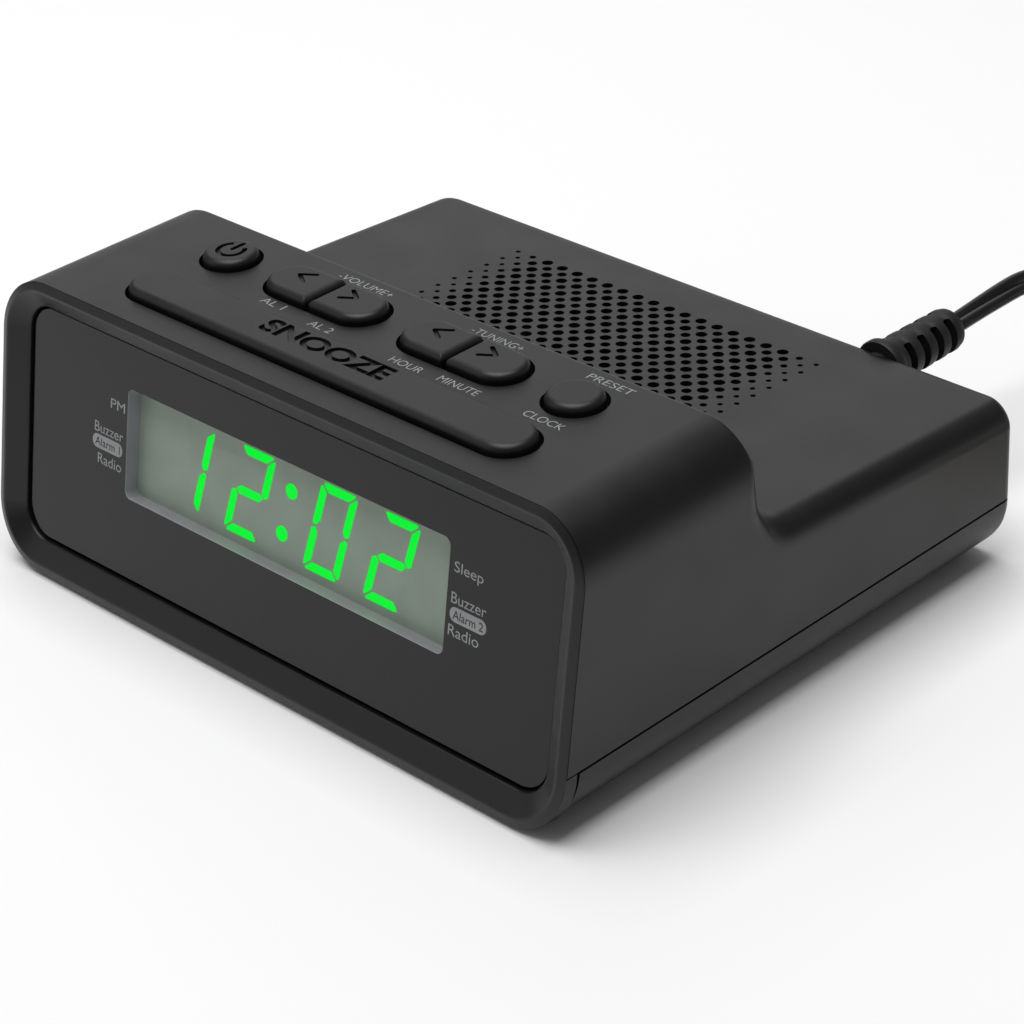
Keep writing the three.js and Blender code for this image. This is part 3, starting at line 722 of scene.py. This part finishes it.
def make_upper_cabinet():
    cabinet = loft("upper_shell", [cabinet_section(*station) for station in cabinet_stations()])
    carve(cabinet, cabinet_cavity())
    carve(cabinet, ahead_of(-0.2))
    for x in (-SINGLE_X, SINGLE_X):
        carve(cabinet, prism("hole", stadium(x, KEY_ROW_Y, 0, HOLE_RADIUS), TOP_Z - 5, TOP_Z + 5))
    for x in (-PAIR_X, PAIR_X):
        carve(cabinet, prism("hole", stadium(x, KEY_ROW_Y, PAIR_REACH, HOLE_RADIUS), TOP_Z - 5, TOP_Z + 5))
    carve(cabinet, prism("hole", stadium(0, SNOOZE_Y, SNOOZE_REACH, HOLE_RADIUS), TOP_Z - 5, TOP_Z + 5))
    carve(cabinet, hole_field(grille_holes(), 26, 42))
    outlet = prism("outlet", circle(3.6, 32), -6, 6)
    boot_low, boot_high = box_mm("strain_relief")
    outlet.data.transform(Matrix.Rotation(math.pi / 2, 4, "X"))
    outlet.data.transform(Matrix.Translation(Vector((
        (boot_low.x + boot_high.x) / 2, REAR_Y, (boot_low.z + boot_high.z) / 2)) * MM))
    carve(cabinet, outlet)
    for x, y in BOSS_PLACES:
        carve(cabinet, prism("pillar", circle(PILLAR_RADIUS, 20, x, y), SEAM_Z, 25), "UNION")
        carve(cabinet, prism("bore", circle(SCREW_RADIUS, 12, x, y), SEAM_Z - 1, 24))
        rib = block("rib", min(x, x * 1.1), max(x, x * 1.1), y - 1, y + 1, SEAM_Z + 0.2, 24)
        carve(rib, prism("bore", circle(3.0, 20, x, y), SEAM_Z - 1, 30))
        carve(cabinet, rib, "UNION")
    return finish_piece(cabinet, cabinet_plastic, ("top_cabinet",), angle=28)


make_upper_cabinet()

# ---------- lower cabinet ----------
BOTTOM_RADIUS = 12.0
SKIRT_W = -2.6


def lower_section(y, inset=0.0, around=0.0, top=None):
    """One section of the lower cabinet. The sides and the foot, not the top, draw in by around."""
    radius = BOTTOM_RADIUS - inset - around
    high = SEAM_Z - SEAM_GAP if top is None else top
    outline = rounded(
        -HALF + inset + around, HALF - inset - around, BASE_Z + inset + around, high,
        [radius, radius, 0.01, 0.01], 14,
    )
    return [(x, y, z) for x, z in outline]


def lower_block():
    rings = [lower_section(-75)]
    for step in range(6):
        angle = math.radians(18 * step)
        around = REAR_CORNER * (1 - math.cos(angle))
        rings.append(lower_section(REAR_Y - REAR_CORNER * (1 - math.sin(angle)), around=around))
    return loft("lower_shell", rings)


def make_lower_cabinet():
    base = lower_block()
    inner = [lower_section(y, inset=WALL, top=SEAM_Z + 5) for y in (-80, REAR_Y - WALL)]
    carve(base, loft("cavity", inner))
    carve(base, ahead_of(SKIRT_W - 0.6))
    door_low, door_high = box_mm("battery_door")
    x0, x1 = door_low.x - 0.4, door_high.x + 0.4
    y0, y1 = door_low.y - 0.4, door_high.y + 0.4
    carve(base, block("bay", x0 - 1.5, x1 + 1.5, y0 - 1.5, y1 + 1.5, BASE_Z + 1, 23), "UNION")
    carve(base, block("room", x0, x1, y0, y1, BASE_Z - 1, 21.5))
    for x, y in BOSS_PLACES:
        boss = prism("boss", circle(BOSS_RADIUS, 24, x, y), BASE_Z + 1.5, SEAM_Z - SEAM_GAP)
        carve(boss, lower_block(), "INTERSECT")
        carve(base, boss, "UNION")
        carve(base, prism("well", circle(3.3, 24, x, y), BASE_Z - 2, 9))
        carve(base, prism("bore", circle(SCREW_RADIUS, 12, x, y), 8, SEAM_Z + 1))
    for node in ("foot_front_left", "foot_front_right", "foot_rear_left", "foot_rear_right"):
        low, high = box_mm(node)
        middle = (low + high) / 2
        carve(base, prism("recess", circle(5.3, 32, middle.x, middle.y), BASE_Z - 1, BASE_Z + 1))
    for slot in range(5):
        x = -62 + slot * 6
        outline = rounded(x, x + 2, 12, 22, [0.95] * 4, 5)
        carve(base, prism("vent", outline, BASE_Z - 1, BASE_Z + 4))
    return finish_piece(base, cabinet_plastic, ("bottom_cabinet",), angle=28)


make_lower_cabinet()

# ---------- bezel and panel ----------


def front_outline(inset, segments=18):
    """The front's outline, drawn in by an inset."""
    low = max(BOTTOM_RADIUS - inset, 0.5)
    high = max(BLOCK_RADIUS - inset, 0.5)
    top = FRONT_HEIGHT - TOP_SHARE * inset
    return rounded(-HALF + inset, HALF - inset, inset, top, [low, low, high, high], segments)


def front_ring(name, section):
    """A closed frame whose section is given as (inset, w) points."""
    rings = [[(x, v, w) for x, v in front_outline(inset)] for inset, w in section]
    return on_front(loft(name, rings, closed=True))


def make_bezel():
    # Round the section: the ridge, the slope down to the panel, the ledge behind it and the collar.
    ring = front_ring("front_frame", (
        (0.0, -0.03), (0.0, 0.02), (0.1, 0.09), (0.3, 0.17), (1.3, 0.5), (1.55, 0.57), (1.8, 0.58),
        (2.05, 0.5), (2.3, 0.36), (5.35, -1.5), (5.55, -1.66), (5.68, -1.86), (5.7, -2.1),
        (5.7, -4.2), (8.5, -4.2), (8.5, -6.0), (4.1, -6.0), (4.1, -2.2), (2.45, -2.2), (2.45, -0.03),
    ))
    skirt = front_ring("skirt", ((0.0, SKIRT_W), (0.0, -0.01), (2.15, -0.01), (2.15, SKIRT_W)))
    carve(skirt, block("above", -100, 100, -100, 100, SEAM_Z - 0.25, 100))
    carve(ring, skirt, "UNION")
    return finish_piece(ring, bezel_plastic, ("front_bezel",), angle=40)


make_bezel()

WINDOW = {"x": 0.8, "v": 32.6, "width": 82.8, "height": 21.3, "radius": 1.5}


def window_outline(margin=0.0):
    """The window's outline, smaller by a margin all round."""
    x, v = WINDOW["x"], WINDOW["v"]
    half_width = WINDOW["width"] / 2 - margin
    half_height = WINDOW["height"] / 2 - margin
    corner = WINDOW["radius"] - margin
    return rounded(x - half_width, x + half_width, v - half_height, v + half_height, [corner] * 4, 8)


def make_panel():
    edge = LIP_INSET + 0.4
    back = PANEL_W - PANEL_THICK
    rows = (
        (edge, back), (edge, PANEL_W - 0.3), (edge + 0.06, PANEL_W - 0.12), (edge + 0.16, PANEL_W - 0.03),
        (edge + 0.3, PANEL_W),
    )
    panel = loft("front_panel", [[(x, v, w) for x, v in front_outline(inset)] for inset, w in rows])
    carve(panel, prism("opening", window_outline(), back - 1, PANEL_W + 1))
    finish_piece(on_front(panel), panel_gloss, ("lens_panel",), angle=40)
    # The opening's own walls, which face along the panel, are painted a light grey: painted light that stands
    # in for light let through the clear lens.
    panel.data.materials.append(rim_painted_light)
    onto_front = FRONT.inverted()
    for face in panel.data.polygons:
        place = onto_front @ face.center / MM
        beside = abs(place.x - WINDOW["x"]) < WINDOW["width"] / 2 + 0.5
        level = abs(place.y - WINDOW["v"]) < WINDOW["height"] / 2 + 0.5
        if beside and level and abs((onto_front.to_3x3() @ face.normal).z) < 0.5:
            face.material_index = 1
    # The surround and its tube take the same light grey, painted light standing in for light let through the
    # clear lens.
    surround = prism("window_surround", window_outline(-3.2), -5.1, -4.2)
    carve(surround, prism("tube", window_outline(-1.0), DIFFUSER_W + 0.02, back - 0.02), "UNION")
    carve(surround, prism("opening", window_outline(), DIFFUSER_W - 1, PANEL_W))
    finish_piece(on_front(surround), rim_painted_light, ("display_frame",), angle=40)
    pane = prism("clock_window", window_outline(0.15), PANEL_W - 0.45, PANEL_W - 0.12)
    finish_piece(on_front(pane), window_clear, ("display_window",), angle=40)


make_panel()

# ---------- lit digits ----------
DIGIT_HALF_WIDTH = 4.55
DIGIT_HALF_HEIGHT = 8.7
STROKE = 1.65
SEGMENT_GAP = 0.32
SLANT = math.tan(math.radians(12.5))
DIGIT_PLACES = ((-26.3, "bc"), (-10.2, "abged"), (10.65, "abcdef"), (25.95, "abged"))
DIGIT_V = 32.4
COLON_X = -0.45
COLON_V = 32.2
COLON_HEIGHT = 4.3
COLON_RADIUS = 1.45


def segment_outlines():
    """The seven bars of a digit, drawn upright round its middle."""
    a, b, s, g = DIGIT_HALF_WIDTH, DIGIT_HALF_HEIGHT, STROKE, SEGMENT_GAP
    top = [(-a + g, b), (a - g, b), (a - s - g, b - s), (-a + s + g, b - s)]
    upper_right = [(a, b - g), (a - s, b - s - g), (a - s, s / 2 + g), (a - s / 2, g * 0.6), (a, s / 2 - g)]
    middle_end = a - s / 2 - g
    middle = [
        (-middle_end, 0), (-middle_end + s / 2, s / 2), (middle_end - s / 2, s / 2),
        (middle_end, 0), (middle_end - s / 2, -s / 2), (-middle_end + s / 2, -s / 2),
    ]
    flip_x = [(-x, y) for x, y in upper_right]
    return {
        "a": top, "d": [(x, -y) for x, y in top], "g": middle,
        "b": upper_right, "c": [(x, -y) for x, y in upper_right],
        "f": flip_x, "e": [(x, -y) for x, y in flip_x],
    }


def softened(outline, steps=3):
    """The outline with each corner rounded off, and pointed ones cut back."""
    soft = []
    count = len(outline)
    for index, point in enumerate(outline):
        here = Vector(point)
        before = (Vector(outline[index - 1]) - here).normalized()
        after = (Vector(outline[(index + 1) % count]) - here).normalized()
        cut = 0.85 if before.dot(after) > 0.5 else 0.22
        start = here + before * cut
        end = here + after * cut
        for step in range(steps + 1):
            t = step / steps
            soft.append(tuple((1 - t) ** 2 * start + 2 * t * (1 - t) * here + t**2 * end))
    return soft


def make_digits():
    low, high = DIFFUSER_W + 0.02, DIFFUSER_W + 0.12
    bars = []
    outlines = segment_outlines()
    for x, lit in DIGIT_PLACES:
        for key in lit:
            outline = [(x + px + py * SLANT, DIGIT_V + py) for px, py in softened(outlines[key])]
            bars.append(prism("bar", outline, low, high))
    for height in (COLON_HEIGHT, -COLON_HEIGHT):
        dot = circle(COLON_RADIUS, 28, COLON_X + height * SLANT, COLON_V + height)
        bars.append(prism("dot", dot, low, high))
    digits = on_front(merged("clock_digits", bars))
    finish_piece(digits, digit_glow, angle=40)


make_digits()


# ---------- lettering ----------
def lettering(text, width, height, low, high, weight=0.0):
    """Generic words in the stock font, as a closed solid fitted to a width and height round the origin."""
    curve = bpy.data.curves.new("text", "FONT")
    curve.body = text
    curve.extrude = 0.5
    curve.resolution_u = 5
    curve.offset = weight
    holder = bpy.data.objects.new("text", curve)
    bpy.context.scene.collection.objects.link(holder)
    graph = bpy.context.evaluated_depsgraph_get()
    mesh = bpy.data.meshes.new_from_object(holder.evaluated_get(graph))
    bpy.data.objects.remove(holder)
    work = bmesh.new()
    work.from_mesh(mesh)
    bmesh.ops.remove_doubles(work, verts=work.verts, dist=1e-5)
    bmesh.ops.recalc_face_normals(work, faces=work.faces)
    places = np.array([vertex.co for vertex in work.verts])
    start, end = places.min(0), places.max(0)
    for vertex in work.verts:
        share = [(vertex.co[axis] - start[axis]) / (end[axis] - start[axis]) for axis in range(3)]
        vertex.co = Vector((
            (share[0] - 0.5) * width, (share[1] - 0.5) * height, low + (high - low) * share[2])) * MM
    work.to_mesh(mesh)
    work.free()
    letters = bpy.data.objects.new("letters", mesh)
    bpy.context.scene.collection.objects.link(letters)
    return letters


def shifted(piece, x, y, z=0.0):
    """Moves a piece by a distance in millimetres."""
    piece.data.transform(Matrix.Translation(Vector((x, y, z)) * MM))
    return piece


# (text, x, y, width)
TOP_LEGENDS = (
    ("-VOLUME+", -15.8, -13.2, 13.6), ("AL 1", -23.5, -28.7, 5.7), ("AL 2", -10.0, -29.6, 5.7),
    ("-TUNING+", 17.6, -13.3, 12.1), ("HOUR", 12.1, -30.0, 7.6), ("MINUTE", 24.5, -29.7, 9.4),
    ("PRESET", 44.1, -13.1, 10.2), ("CLOCK", 44.1, -29.3, 8.9),
)
# (text, x, v, width, height)
PANEL_LEGENDS = (
    ("PM", -43.3, 38.9, 4.0, 1.9), ("Buzzer", -45.6, 33.2, 8.1, 2.0), ("Radio", -45.2, 27.2, 6.7, 2.0),
    ("Sleep", 46.8, 38.6, 6.7, 2.5), ("Buzzer", 47.3, 33.3, 8.1, 2.0), ("Radio", 46.6, 27.4, 7.1, 2.0),
)
PILLS = (("Alarm 1", -45.9, 30.4), ("Alarm 2", 47.4, 30.4))
TOP_LETTER_HEIGHT = 1.85
INK = 0.02  # how thick the printing is


def make_legends():
    words = [
        shifted(lettering(text, width, TOP_LETTER_HEIGHT, 0.003, INK, weight=-0.006), x, y, TOP_Z)
        for text, x, y, width in TOP_LEGENDS
    ]
    finish_piece(merged("top_legends", words), legend_ink, angle=40)
    words = [
        shifted(lettering(text, width, height, 0.003, INK), x, v, PANEL_W)
        for text, x, v, width, height in PANEL_LEGENDS
    ]
    for _, x, v in PILLS:
        outline = rounded(x - 4.25, x + 4.25, v - 1.35, v + 1.35, [1.3] * 4, 8)
        words.append(prism("pill", outline, PANEL_W + 0.003, PANEL_W + INK))
    finish_piece(on_front(merged("panel_legends", words)), legend_ink, angle=40)
    words = [shifted(lettering(text, 7.0, 1.6, INK + 0.003, 2 * INK), x, v, PANEL_W) for text, x, v in PILLS]
    finish_piece(on_front(merged("pill_legends", words)), panel_gloss, angle=40)


make_legends()

# ---------- keys ----------
KEY_GAP = 0.75
KEY_PROUD = 1.8
KEY_EDGE = 1.35
SPLIT_GAP = 0.4
ENGRAVING = 0.6
CHEVRON_REACH = 1.35
CHEVRON_RISE = 1.75


def key_cap(name, x0, x1, y0, y1, radii):
    """A cap with a flange under the roof and a round shoulder; finish_key adds the stem for its switch."""
    rows = [(-1.0, TOP_Z - WALL - 1.6), (-1.0, TOP_Z - WALL - 0.3), (0.0, TOP_Z - WALL - 0.3)]
    shoulder = TOP_Z + KEY_PROUD - KEY_EDGE
    rows.append((0.0, shoulder))
    for step in range(1, 9):
        angle = math.pi / 2 * step / 8
        rows.append((KEY_EDGE * (1 - math.cos(angle)), shoulder + KEY_EDGE * math.sin(angle)))
    rings = []
    for inset, z in rows:
        corners = [max(radius - inset, 0.12) for radius in radii]
        outline = rounded(x0 + inset, x1 - inset, y0 + inset, y1 - inset, corners, 12)
        rings.append([(x, y, z) for x, y in outline])
    return loft(name, rings)


def groove(start, end, width):
    """A straight cut with round ends, sunk into the top of a key."""
    start, end = Vector(start), Vector(end)
    along = (end - start).normalized() * width / 2
    first = math.atan2(along.y, along.x)
    outline = []
    for centre, turn in ((end, -math.pi / 2), (start, math.pi / 2)):
        for step in range(7):
            angle = first + turn + math.pi * step / 6
            outline.append((centre.x + width / 2 * math.cos(angle), centre.y + width / 2 * math.sin(angle)))
    return prism("groove", outline, TOP_Z + KEY_PROUD - ENGRAVING, TOP_Z + KEY_PROUD + 1)


def arc_groove(cx, cy, radius, width, start, end, steps=30):
    """A cut along an arc from start to end degrees."""
    low, high = TOP_Z + KEY_PROUD - ENGRAVING, TOP_Z + KEY_PROUD + 1
    far, near = radius + width / 2, radius - width / 2
    rings = []
    for step in range(steps + 1):
        angle = math.radians(start + (end - start) * step / steps)
        section = ((far, low), (near, low), (near, high), (far, high))
        rings.append([(cx + out * math.cos(angle), cy + out * math.sin(angle), z) for out, z in section])
    return loft("groove", rings)


def chevron(key, x, y, points_left):
    """Cuts an arrow head whose two strokes meet at its point."""
    reach = -CHEVRON_REACH if points_left else CHEVRON_REACH
    for side in (CHEVRON_RISE, -CHEVRON_RISE):
        carve(key, groove((x + reach, y), (x - reach, y + side), 0.9))


def finish_key(key, node, stem_x, stem_y):
    """Adds the stem that reaches down to the key's switch, and puts the key on its own body."""
    low, _ = box_mm(node)
    stem = prism("stem", circle(1.8, 20, stem_x, stem_y), low.z, TOP_Z - WALL - 1)
    carve(key, stem, "UNION")
    finish_piece(key, key_rubber, (node,), node.replace("_button", "_key"), angle=40)


def make_keys():
    radius = HOLE_RADIUS - KEY_GAP
    y0, y1 = KEY_ROW_Y - radius, KEY_ROW_Y + radius
    corner = radius - 0.001
    for node, x in (("power_button", -SINGLE_X), ("preset_button", SINGLE_X)):
        key = key_cap(node.replace("button", "cap"), x - radius, x + radius, y0, y1, [corner] * 4)
        if node == "power_button":
            carve(key, arc_groove(x, KEY_ROW_Y + 0.2, 2.5, 0.95, 128, 412))
            carve(key, groove((x, KEY_ROW_Y + 0.5), (x, KEY_ROW_Y + 3.2), 0.95))
        finish_key(key, node, x, KEY_ROW_Y)
    for name, middle in (("volume", -PAIR_X), ("tuning", PAIR_X)):
        reach = PAIR_REACH + radius
        corners = [corner, 0.5, 0.5, corner]
        left = key_cap(f"{name}_down_cap", middle - reach, middle - SPLIT_GAP, y0, y1, corners)
        chevron(left, middle - 7.1, KEY_ROW_Y + 1.2, True)
        finish_key(left, f"{name}_down_button", middle - 7.5, KEY_ROW_Y)
        corners = [0.5, corner, corner, 0.5]
        right = key_cap(f"{name}_up_cap", middle + SPLIT_GAP, middle + reach, y0, y1, corners)
        chevron(right, middle + 5.4, KEY_ROW_Y + 1.0, False)
        finish_key(right, f"{name}_up_button", middle + 7.5, KEY_ROW_Y)
    reach = SNOOZE_REACH + radius
    snooze = key_cap("snooze_cap", -reach, reach, SNOOZE_Y - radius, SNOOZE_Y + radius, [corner] * 4)
    word = lettering("SNOOZE", 31.4, 4.7, TOP_Z + KEY_PROUD - ENGRAVING, TOP_Z + KEY_PROUD + 1, weight=0.04)
    carve(snooze, shifted(word, -0.4, -36.9))
    finish_key(snooze, "snooze_button", 0, SNOOZE_Y)


make_keys()

# ---------- boot ----------
SLOT_PLACES = (66.1, 70.2, 74.3, 78.4)
SLOT_HALF = 0.95
SPINE = 0.9


def make_boot():
    """A moulded strain relief: flange, cone and five ribs parted by slots at both sides of a spine."""
    low, high = box_mm("strain_relief")
    centre_x, centre_z = (low.x + high.x) / 2, (low.z + high.z) / 2
    profile = [(0, low.y), (3.2, low.y), (3.2, REAR_Y + 0.3), (5.2, REAR_Y + 0.3), (5.4, REAR_Y + 0.7)]
    profile += [(5.4, REAR_Y + 1.9), (5.15, REAR_Y + 2.4), (4.75, REAR_Y + 2.9), (4.6, REAR_Y + 3.5)]
    for y in np.arange(REAR_Y + 4.1, high.y - 1.5, 0.25):
        share = (y - REAR_Y) / (high.y - REAR_Y)
        dip = min(abs(y - place) for place in SLOT_PLACES)
        profile.append((4.6 - 0.3 * share - 0.25 * (1 - ease(dip / 1.4)), y))
    profile += [(4.2, high.y - 1.3), (4.05, high.y - 0.6), (3.65, high.y - 0.15), (3.0, high.y), (0, high.y)]
    boot = turned("lead_boot", profile, 64)
    for place in SLOT_PLACES:
        for side in (-1, 1):
            x0, x1 = sorted((side * SPINE, side * 8))
            slot = block("slot", x0, x1, -3.75, 3.75, place - SLOT_HALF, place + SLOT_HALF)
            carve(boot, slot)
    # Turned about X, the boot lies down along Y.
    boot.data.transform(Matrix.Rotation(-math.pi / 2, 4, "X"))
    boot.data.transform(Matrix.Translation(Vector((centre_x, 0, centre_z)) * MM))
    return finish_piece(boot, boot_rubber, ("strain_relief",), angle=40)


lead_boot = make_boot()


def make_feet():
    for place in ("front_left", "front_right", "rear_left", "rear_right"):
        low, high = box_mm(f"foot_{place}")
        middle = (low + high) / 2
        profile = [(0, 0), (4.5, 0), (4.85, 0.12), (5.0, 0.4), (5.0, high.z), (0, high.z)]
        foot = shifted(turned(f"pad_{place}", profile), middle.x, middle.y)
        finish_piece(foot, foot_rubber, (f"foot_{place}",), angle=50)


make_feet()

# ---------- CAD nodes that stay, with finer materials ----------
NODE_MATERIALS = (
    (cabinet_plastic, ("battery_door",)),
    (diffuser_green, ("display_diffuser",)),
    (inner_plastic, (
        "led_display_module", "power_switch", "volume_down_switch", "volume_up_switch", "tuning_down_switch",
        "tuning_up_switch", "preset_switch", "snooze_switch",
    )),
    (circuit_board, ("display_board", "key_board", "main_board")),
    (steel, (
        "display_screw_left", "display_screw_right", "key_board_screw_left", "key_board_screw_right",
        "board_screw_left", "board_screw_right", "case_screw_front_left", "case_screw_front_right",
        "case_screw_rear_left", "case_screw_rear_right", "tuner_can",
    )),
    (cone_paper, ("speaker_cone",)),
    # The speaker basket takes this dark colour as painted shade, so the grille's holes read dark; the magnet,
    # rod, core, chip and clip are dark of their own.
    (dark_ferrite, (
        "speaker_basket", "speaker_magnet", "ferrite_rod", "transformer_core", "audio_chip", "battery_clip",
    )),
    (copper_wire, ("transformer_coil", "antenna_coil")),
    (cell_wrap, ("filter_capacitor", "backup_battery")),
    (brass, ("plug_blade_left", "plug_blade_right")),
)


def paint_nodes():
    for material, nodes in NODE_MATERIALS:
        for node in nodes:
            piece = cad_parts[node]
            piece.data.materials.clear()
            piece.data.materials.append(material)


paint_nodes()


# ---------- floor and light ----------
def make_floor():
    bpy.ops.mesh.primitive_plane_add(size=8)
    floor = bpy.context.object
    floor.name = "floor"
    paper = bpy.data.materials.new("floor_paper")
    paper.use_nodes = True
    shader = paper.node_tree.nodes["Principled BSDF"]
    shader.inputs["Base Color"].default_value = (0.9, 0.9, 0.9, 1)
    shader.inputs["Roughness"].default_value = 0.9
    shader.inputs["Specular IOR Level"].default_value = 0.1
    floor.data.materials.append(paper)


def area_light(name, place, aim, size, power):
    data = bpy.data.lights.new(name, "AREA")
    data.shape = "SQUARE"
    data.size = size
    data.energy = power
    light = bpy.data.objects.new(name, data)
    light.location = place
    light.rotation_mode = "QUATERNION"
    light.rotation_quaternion = (Vector(aim) - Vector(place)).to_track_quat("-Z", "Y")
    bpy.context.scene.collection.objects.link(light)


def make_light():
    world = bpy.data.worlds.new("studio")
    world.use_nodes = True
    world.node_tree.nodes["Background"].inputs["Color"].default_value = (1, 1, 1, 1)
    world.node_tree.nodes["Background"].inputs["Strength"].default_value = 0.17
    bpy.context.scene.world = world
    area_light("overhead", (-0.1, -0.1, 1.5), (-0.1, -0.1, 0), 1.3, 24)
    area_light("back_left", (-1.15, 1.12, 0.93), (0, 0, 0.03), 1.5, 4.9)
    area_light("front_left", (-0.94, -1.0, 0.62), (0, 0, 0.03), 1.05, 1.9)


make_floor()
make_light()
bpy.context.scene.view_settings.view_transform = "Standard"
